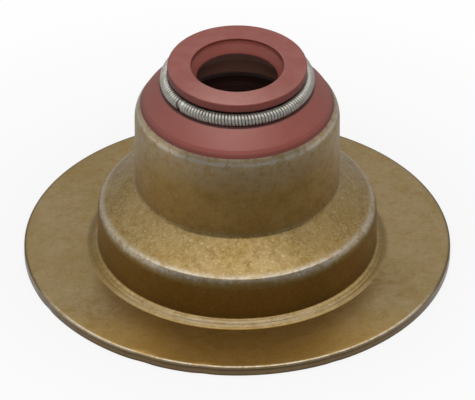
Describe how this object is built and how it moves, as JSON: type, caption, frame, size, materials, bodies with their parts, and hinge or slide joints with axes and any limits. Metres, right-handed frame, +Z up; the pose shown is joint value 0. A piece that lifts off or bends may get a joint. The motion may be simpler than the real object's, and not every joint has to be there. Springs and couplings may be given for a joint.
{
  "type": "valve stem seal",
  "caption": "Valve stem seal: a drawn steel shell with a wide spring-seat flange, a moulded rubber head with a sealing lip, and a garter spring.",
  "frame": {"origin": "on the seal's axis, at the underside of the spring-seat flange", "axes": "+Z up along the valve stem, from the flange to the head; +X and +Y are in the flange's plane"},
  "size_m": [0.036, 0.036, 0.0192],
  "materials": {
    "passivated_steel": "olive-gold passivated sheet steel, satin, with pale worn edges and fine speckle",
    "seal_rubber": "red-brown moulded rubber, matt with a faint sheen",
    "spring_steel": "drawn steel wire, close coiled, satin"
  },
  "bodies": {
    "root": {"steel_shell": "passivated_steel", "rubber_seal": "seal_rubber", "garter_spring": "spring_steel"}
  },
  "joints": []
}
